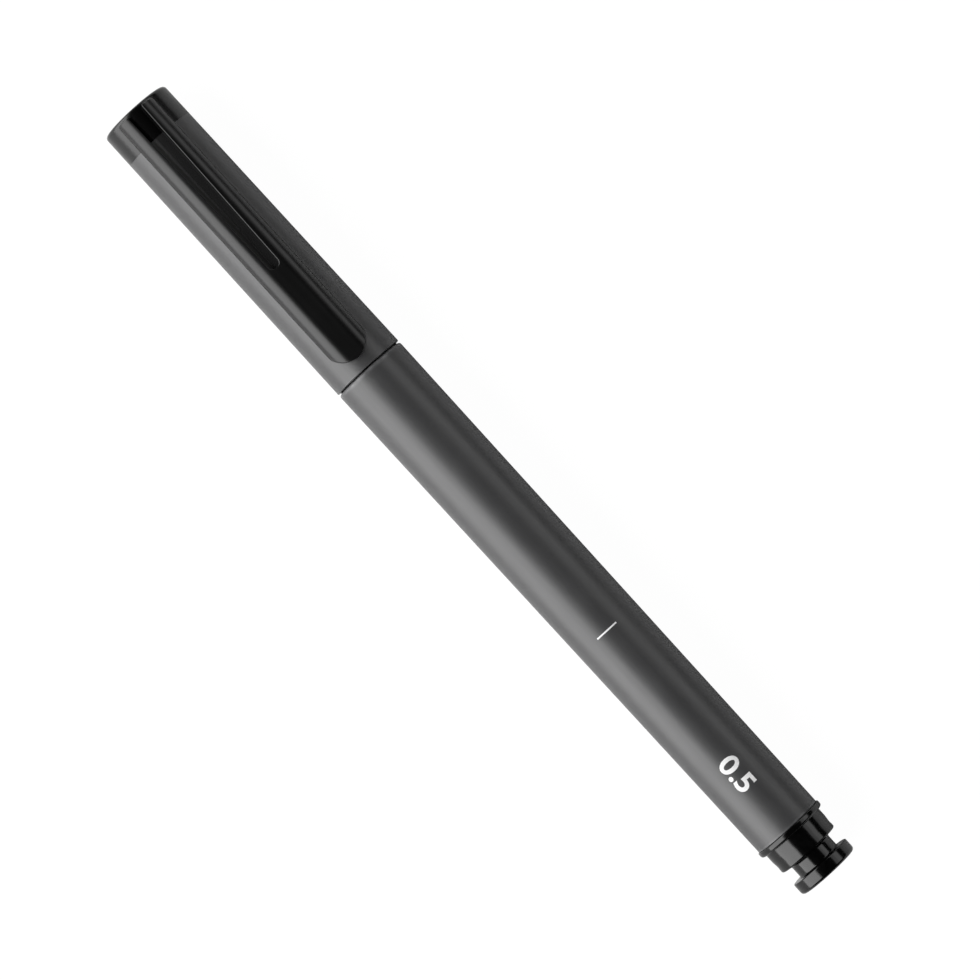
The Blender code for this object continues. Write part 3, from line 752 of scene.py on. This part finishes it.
def cap_plastic():
    """The cap's matte grey, with painted shade in the clip's slot: darker there, and lighter as painted
    light towards the slot's -Y side.
    """
    finish = matte_grey("matte_grey_cap", 1.3)
    parts = finish.node("ShaderNodeSeparateXYZ", {"Vector": finish.place})
    tip = (SLOT_TIP - PEN_LENGTH / 2) * MM
    along = finish.ranged(parts.outputs["X"], 1.0, 0.0, tip - 0.1 * MM, tip + 0.1 * MM)
    side = finish.node("ShaderNodeMath", {0: parts.outputs["Y"]}, operation="ABSOLUTE").outputs["Value"]
    across = finish.ranged(side, 1.0, 0.0, SLOT_ROOT_HALF * MM, (SLOT_ROOT_HALF + 0.3) * MM)
    above = finish.ranged(parts.outputs["Z"], 0.0, 1.0, AXIS_HEIGHT * MM, (AXIS_HEIGHT + 1.0) * MM)
    # The slot strip on top of the cap's tube, where painted shade and painted light go.
    slot_shade_mask = finish.maths("MULTIPLY", finish.maths("MULTIPLY", along, across), above)
    # Light at the slot's -Y side to dark inward: painted light against the leg's shadow, then painted shade
    # under the clip.
    slot_painted_light_ramp = finish.ranged(parts.outputs["Y"], 0.0, 1.0, -SLOT_ROOT_HALF * MM, -0.2 * MM)
    slot_painted_shade = finish.mixed(slot_painted_light_ramp, (0.17, 0.17, 0.17), (0.016, 0.016, 0.016))
    finish.overlay(slot_shade_mask, slot_painted_shade, 0.62)
    return finish.material


def smooth_black(name, level, rough, spread, depth, edge_wear_and_highlight_gain):
    """A smooth moulded black of a level and a roughness."""
    return moulded_plastic(
        name,
        colour=(level, level, level),
        rough=rough,
        spread=spread,
        grain=0.25,
        depth=depth,
        ripple=0.0008,
        edge_wear_and_highlight_gain=edge_wear_and_highlight_gain,
    ).material


def gloss_black():
    """The gloss black of the tail plug."""
    return smooth_black("gloss_black", 0.0004, rough=0.15, spread=0.01, depth=0.00006, edge_wear_and_highlight_gain=6.0)


def crown_black():
    """The crown's black, a little rubbed by hands."""
    return smooth_black("rubbed_black", 0.0004, rough=0.25, spread=0.01, depth=0.00006, edge_wear_and_highlight_gain=6.0)


def clip_black():
    """The softer black of the clip."""
    return smooth_black("soft_black", 0.0012, rough=0.32, spread=0.012, depth=0.00008, edge_wear_and_highlight_gain=4.0)


def satin_black():
    """The satin black of the grip section."""
    return moulded_plastic(
        "satin_black",
        colour=(0.012, 0.012, 0.012),
        rough=0.30,
        spread=0.02,
        grain=0.12,
        depth=0.0006,
        ripple=0.0010,
        edge_wear_and_highlight_gain=1.8,
    ).material


def natural_plastic(name, colour, rough):
    """Unpainted plastic, a little translucent."""
    finish = moulded_plastic(
        name,
        colour=colour,
        rough=rough,
        spread=0.03,
        grain=0.20,
        depth=0.0008,
        ripple=0.0015,
        edge_wear_and_highlight_gain=1.05,
    )
    finish.set(Subsurface_Weight=0.25, Subsurface_Scale=0.6 * MM)
    return finish.material


def drawn_steel():
    """Steel tube with fine drawing lines along it."""
    finish = Finish("drawn_steel")
    lines = finish.noise(0.05, 2.0, finish.stretched(40, 1))
    haze = finish.noise(0.8, 3.0)
    base = finish.mixed(finish.ranged(haze, 0.0, 1.0), (0.56, 0.56, 0.57), (0.66, 0.66, 0.66))
    roughness = finish.maths("ADD", finish.ranged(lines, 0.14, 0.28), finish.ranged(haze, 0.0, 0.05))
    finish.set(Base_Color=base, Roughness=roughness, Metallic=1.0)
    finish.bumps((lines, 0.0006))
    return finish.material


def fibre(name, colour, rough, size):
    """Bonded fibre that runs along the pen."""
    finish = Finish(name)
    strands = finish.noise(size, 3.0, finish.stretched(25, 1))
    clumps = finish.noise(1.5, 3.0)
    base = finish.mixed(finish.ranged(strands, 0.0, 1.0), tinted(colour, 0.7), tinted(colour, 1.3))
    base = finish.mixed(finish.ranged(clumps, 0.0, 0.3), base, tinted(colour, 0.8))
    finish.set(Base_Color=base, Roughness=finish.ranged(strands, rough, rough - 0.15))
    finish.bumps((strands, 0.02))
    return finish.material


def wrapped_film():
    """Thin film with creases along it."""
    finish = Finish("wrapped_film")
    creases = finish.noise(0.8, 3.0, finish.stretched(12, 1))
    haze = finish.noise(5.0, 3.0)
    base = finish.mixed(finish.ranged(haze, 0.0, 1.0), (0.70, 0.71, 0.73), (0.78, 0.79, 0.81))
    finish.set(Base_Color=base, Roughness=finish.ranged(creases, 0.18, 0.34))
    finish.bumps((creases, 0.01))
    return finish.material


def print_white():
    """White printing ink, slightly uneven."""
    finish = Finish("print_white")
    cover = finish.noise(0.25, 3.0)
    base = finish.mixed(finish.ranged(cover, 0.0, 1.0), (0.84, 0.84, 0.84), (0.92, 0.92, 0.92))
    finish.set(Base_Color=base, Roughness=finish.ranged(cover, 0.55, 0.42))
    finish.bumps((cover, 0.002))
    return finish.material


def make_cap(grey, black):
    """The cap's tube and its crown."""
    half_bead = BEAD_WIDTH / 2
    half_top = BEAD_TOP_WIDTH / 2
    shell_front = CROWN_LENGTH + SEAT_GAP / 3
    tube = [
        (CAP_LENGTH, PEN_RADIUS, MOUTH_EDGE),
        (shell_front, cap_radius(shell_front), 0),
        (shell_front, CAP_BORE_END, 0),
        (CAP_LENGTH - MOUTH_BORE_LENGTH, CAP_BORE, 0),
        (BEAD_MIDDLE - half_bead, CAP_BORE, 0),
        (BEAD_MIDDLE - half_top, CAP_BORE + BEAD_HEIGHT, 0),
        (BEAD_MIDDLE + half_top, CAP_BORE + BEAD_HEIGHT, 0),
        (BEAD_MIDDLE + half_bead, CAP_BORE, 0),
        (CAP_LENGTH, CAP_BORE, MOUTH_LEAD_IN),
    ]
    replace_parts(turned("cap_tube", tube, "cap", grey), "cap_shell")
    spigot = CAP_BORE_END - FIT_GAP
    crown = [
        (CROWN_SPIGOT_BACK, spigot, NOSE_EDGE),
        (CROWN_LENGTH, spigot, 0),
        (CROWN_LENGTH, cap_radius(CROWN_LENGTH), 0),
        (0, CAP_END_RADIUS, CROWN_EDGE),
        (0, 0, 0),
        (PRESS_WALL, 0, 0),
        (PRESS_WALL, spigot - PRESS_WALL, NOSE_EDGE),
        (CROWN_SPIGOT_BACK, spigot - PRESS_WALL, 0),
    ]
    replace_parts(turned("crown", crown, "cap", black), "cap_crown")


def make_barrel(grey, seat, black):
    """The barrel with its seat for the cap, and the tail plug."""
    tube = [
        (BARREL_BACK, BARREL_BACK_RADIUS, BARREL_BACK_EDGE),
        (BARREL_FRONT, PEN_RADIUS, BARREL_FRONT_EDGE),
        (BARREL_FRONT, STOP_RADIUS, 0),
        (STOP_FRONT, STOP_RADIUS, 0),
        (STOP_FRONT, SOCKET_RADIUS, 0),
        (SECTION_BACK + STEP_GAP, SOCKET_RADIUS, 0),
        (SECTION_BACK + STEP_GAP, BARREL_BORE, 0),
        (BARREL_BACK, BARREL_BORE, 0),
    ]
    barrel = turned("barrel_tube", tube, "barrel", grey)
    barrel.data.materials.append(seat)
    # The ring's faces take the dark seat finish, which is painted shade in the seam.
    seat_back = (BARREL_FRONT - STOP_WIDTH / 4 - PEN_LENGTH / 2) * MM
    for face in barrel.data.polygons:
        face.material_index = 1 if face.center.x < seat_back else 0
    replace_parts(barrel, "barrel")
    spigot = BARREL_BORE - FIT_GAP
    plug = [
        (PEN_LENGTH, 0, 0),
        (PEN_LENGTH, DISC_RADIUS, DISC_OUTER_EDGE),
        (DISC_FRONT, DISC_RADIUS, DISC_INNER_EDGE),
        (DISC_FRONT, TAIL_NECK_RADIUS, NECK_FILLET),
        (CUP_BACK + CUP_END_SLANT, TAIL_NECK_RADIUS, NECK_FILLET),
        (CUP_BACK, CUP_RADIUS - CUP_LIP_DEPTH, CUP_EDGE),
        (CUP_BACK - CUP_WAIST_SETBACK, CUP_RADIUS - CUP_WAIST_DEPTH, WAIST_BEND),
        (FLANGE_BACK + CUP_STRAIGHT, CUP_RADIUS, WAIST_BEND),
        (FLANGE_BACK, CUP_RADIUS, CUP_ROOT),
        (FLANGE_BACK, FLANGE_RADIUS, FLANGE_BACK_EDGE),
        (BARREL_BACK + SEAT_GAP, FLANGE_RADIUS, FLANGE_FRONT_EDGE),
        (BARREL_BACK + SEAT_GAP, spigot, 0),
        (PLUG_FRONT, spigot, NOSE_EDGE),
        (PLUG_FRONT, spigot - PRESS_WALL, 0),
        (PLUG_FRONT + PLUG_BORE_DEPTH, spigot - PRESS_WALL, 0),
        (PLUG_FRONT + PLUG_BORE_DEPTH, 0, 0),
    ]
    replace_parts(turned("tail_end_plug", plug, "barrel", black), "tail_plug")


def make_writing_end(satin, steel, point):
    """The grip section, the steel sleeve and the point, seen when the cap is off."""
    half_bead = BEAD_WIDTH / 2
    half_top = BEAD_TOP_WIDTH / 2
    neck_front = BARREL_FRONT - NECK_LENGTH
    grip = [
        (SECTION_BACK, SECTION_SPIGOT_RADIUS, NOSE_EDGE),
        (STOP_FRONT - SEAT_GAP, SECTION_SPIGOT_RADIUS, 0),
        (STOP_FRONT - SEAT_GAP, NECK_RADIUS, 0),
        (BEAD_MIDDLE + half_bead, NECK_RADIUS, NOSE_EDGE),
        (BEAD_MIDDLE + half_top, BEAD_RADIUS, NOSE_EDGE),
        (BEAD_MIDDLE - half_top, BEAD_RADIUS, NOSE_EDGE),
        (BEAD_MIDDLE - half_bead, NECK_RADIUS, NOSE_EDGE),
        (neck_front, NECK_RADIUS, CUP_ROOT),
        (neck_front - GRIP_STEP, NECK_RADIUS - GRIP_STEP, CUP_ROOT),
        (GRIP_FRONT, GRIP_FRONT_RADIUS, NOSE_EDGE),
        (GRIP_FRONT, LAND_RADIUS, CUP_ROOT),
        (LAND_FRONT, LAND_RADIUS, NOSE_EDGE),
        (NOSE_FRONT, NOSE_RADIUS, NOSE_EDGE),
        (NOSE_FRONT, SLEEVE_RADIUS + FIT_GAP, 0),
        (LAND_FRONT, SLEEVE_RADIUS + FIT_GAP, 0),
        (LAND_FRONT, HOLDER_BORE, 0),
        (HOLDER_SHOULDER, HOLDER_BORE, 0),
        (HOLDER_SHOULDER, SECTION_BORE, 0),
        (SECTION_BACK, SECTION_BORE, 0),
    ]
    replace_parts(turned("grip", grip, "barrel", satin), "grip_section")
    sleeve_back = SLEEVE_FRONT + SLEEVE_LENGTH
    swage = SLEEVE_FRONT + SLEEVE_SWAGE_LENGTH
    sleeve = [
        (sleeve_back, SLEEVE_RADIUS, 0),
        (swage, SLEEVE_RADIUS, SLEEVE_SWAGE_ROUND),
        (SLEEVE_FRONT, SLEEVE_TIP_RADIUS, SEAT_GAP),
        (SLEEVE_FRONT, SLEEVE_TIP_BORE, 0),
        (swage, SLEEVE_TIP_BORE, 0),
        (swage + NIB_RADIUS, SLEEVE_BORE, 0),
        (sleeve_back, SLEEVE_BORE, 0),
    ]
    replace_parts(turned("sleeve_tube", sleeve, "barrel", steel, THIN_TURN_STEPS), "nib_sleeve")
    nib = [
        (NIB_FRONT + NIB_LENGTH, 0, 0),
        (NIB_FRONT + NIB_LENGTH, NIB_RADIUS, 0),
        (swage + NIB_RADIUS, NIB_RADIUS, 0),
        (swage + NIB_RADIUS, NIB_TIP_RADIUS, 0),
        (NIB_FRONT, NIB_TIP_RADIUS, NIB_TIP_ROUND),
        (NIB_FRONT, 0, 0),
    ]
    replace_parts(turned("nib_point", nib, "barrel", point, THIN_TURN_STEPS), "nib")


def dress_nodes():
    """Give the solids that stay their finishes."""
    finishes = {
        "nib_holder": natural_plastic("natural_plastic", (0.72, 0.72, 0.68), 0.45),
        "inner_cap": natural_plastic("seal_plastic", (0.55, 0.55, 0.53), 0.50),
        "feed_wick": fibre("wick_fibre", (0.70, 0.70, 0.68), 0.95, 0.15),
        "ink_reservoir": fibre("inked_fibre", (0.03, 0.03, 0.035), 0.90, 0.25),
        "reservoir_film": wrapped_film(),
    }
    for name, material in finishes.items():
        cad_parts[name].material_slots[0].material = material


def make_floor():
    """The pale floor, which the camera sees as nearly white; its own colour holds painted shade, darker
    towards the tail end and on the +Y side.
    """
    finish = Finish("pale_floor")
    parts = finish.node("ShaderNodeSeparateXYZ", {"Vector": finish.place})
    # Painted shade in the floor's colour: darker towards the tail end, and darker on the +Y side.
    tail = finish.ranged(parts.outputs["X"], 0.0, 1.0, 30 * MM, 65 * MM)
    floor_painted_shade = finish.mixed(tail, (0.93, 0.93, 0.93), (0.66, 0.66, 0.66))
    side = finish.ranged(parts.outputs["Y"], 0.0, 1.0, -5 * MM, 5 * MM)
    pale = finish.mixed(side, floor_painted_shade, (0.78, 0.78, 0.78))
    tone = finish.noise(400.0, 2.0)
    finish.set(Base_Color=pale, Roughness=finish.ranged(tone, 0.75, 0.85))
    white = {"Color": (1, 1, 1, 1), "Strength": 1.05}
    glow = finish.node("ShaderNodeEmission", white).outputs["Emission"]
    seen = finish.node("ShaderNodeLightPath").outputs["Is Camera Ray"]
    share = finish.maths("MULTIPLY", seen, 0.93)
    blend = finish.node("ShaderNodeMixShader", {0: share, 1: finish.shader.outputs["BSDF"], 2: glow})
    surface = finish.tree.nodes["Material Output"].inputs["Surface"]
    finish.tree.links.new(blend.outputs["Shader"], surface)
    mesh = flat_rectangle("floor", FLOOR_SIZE, FLOOR_SIZE)
    mesh.materials.append(finish.material)
    floor = bpy.data.objects.new("floor", mesh)
    bpy.context.scene.collection.objects.link(floor)
    floor.location.z = -FLOOR_DROP


def make_surroundings():
    """Surroundings that are white to the camera and nearly dark to the pen."""
    world = bpy.data.worlds.new("studio")
    bpy.context.scene.world = world
    world.use_nodes = True
    tree = world.node_tree
    seen = tree.nodes.new("ShaderNodeLightPath").outputs["Is Camera Ray"]
    level = tree.nodes.new("ShaderNodeMapRange")
    level.inputs["To Min"].default_value = 0.01
    level.inputs["To Max"].default_value = 0.95
    tree.links.new(seen, level.inputs["Value"])
    background = tree.nodes["Background"]
    background.inputs["Color"].default_value = (1, 1, 1, 1)
    tree.links.new(level.outputs["Result"], background.inputs["Strength"])


def softbox(name, low, high, radiance, distance=LIGHT_DISTANCE):
    """A long soft light along the pen, between two angles in degrees from straight up to +Y."""
    ends = [Vector((0, sin(radians(a)), cos(radians(a)))) * distance for a in (low, high)]
    middle = (ends[0] + ends[1]) / 2 + Vector(((LIGHT_START + LIGHT_END) / 2, 0, 0))
    width = (ends[1] - ends[0]).length
    length = LIGHT_END - LIGHT_START
    light = bpy.data.lights.new(name, "AREA")
    light.shape = "RECTANGLE"
    light.size = length
    light.size_y = width
    light.energy = radiance * pi * length * width
    holder = bpy.data.objects.new(name, light)
    bpy.context.scene.collection.objects.link(holder)
    side = Vector((1, 0, 0))
    up = (ends[1] - ends[0]).normalized()
    back = side.cross(up)
    if back.dot(ends[0]) < 0:
        side = -side
        back = -back
    turn = Matrix((side, up, back)).transposed()
    holder.matrix_world = Matrix.Translation(middle) @ turn.to_4x4()
    holder.visible_camera = False


def make_lights():
    """A strong soft light on the -Y side and a weaker one on the +Y side."""
    softbox("near_softbox", -32, -89.5, 4.0)
    softbox("near_softbox_edge", -28, -32, 2.0)
    softbox("far_softbox", 38.5, 68, 1.0)
    softbox("far_softbox_core", 50, 66, 0.45, LIGHT_DISTANCE + 0.01)


def make_camera():
    """The camera above the pen, turned so that the pen lies across the picture."""
    target = Vector((*CAMERA_TARGET, AXIS_HEIGHT)) * MM
    back = Vector((sin(CAMERA_LEAN), 0, cos(CAMERA_LEAN)))
    right = Vector((cos(CAMERA_TURN), sin(CAMERA_TURN), 0))
    right = (right - back * right.dot(back)).normalized()
    camera = bpy.data.cameras.new("camera")
    camera.lens = CAMERA_LENS
    holder = bpy.data.objects.new("camera", camera)
    bpy.context.scene.collection.objects.link(holder)
    camera_axes = Matrix((right, back.cross(right), back)).transposed()
    place = target + back * CAMERA_DISTANCE * MM
    holder.matrix_world = Matrix.Translation(place) @ camera_axes.to_4x4()
    bpy.context.scene.camera = holder
    bpy.context.scene.view_settings.view_transform = "Standard"


make_cap(cap_plastic(), crown_black())
make_clip(clip_black())
make_barrel(barrel_plastic(), seat_painted_shade(), gloss_black())
inked_nib = fibre("inked_nib", (0.015, 0.015, 0.017), 0.65, 0.06)
make_writing_end(satin_black(), drawn_steel(), inked_nib)
white = print_white()
number = number_shape("0.5", NUMBER_HEIGHT, NUMBER_WIDTH, NUMBER_BOLDNESS)
wrapped_mark("number_mark", number, NUMBER_STATION, NUMBER_ACROSS, white)
bar = flat_rectangle("bar", BAR_WIDTH, BAR_HEIGHT)
wrapped_mark("line_mark", bar, BAR_STATION, BAR_ACROSS, white)
dress_nodes()
make_floor()
make_surroundings()
make_lights()
make_camera()
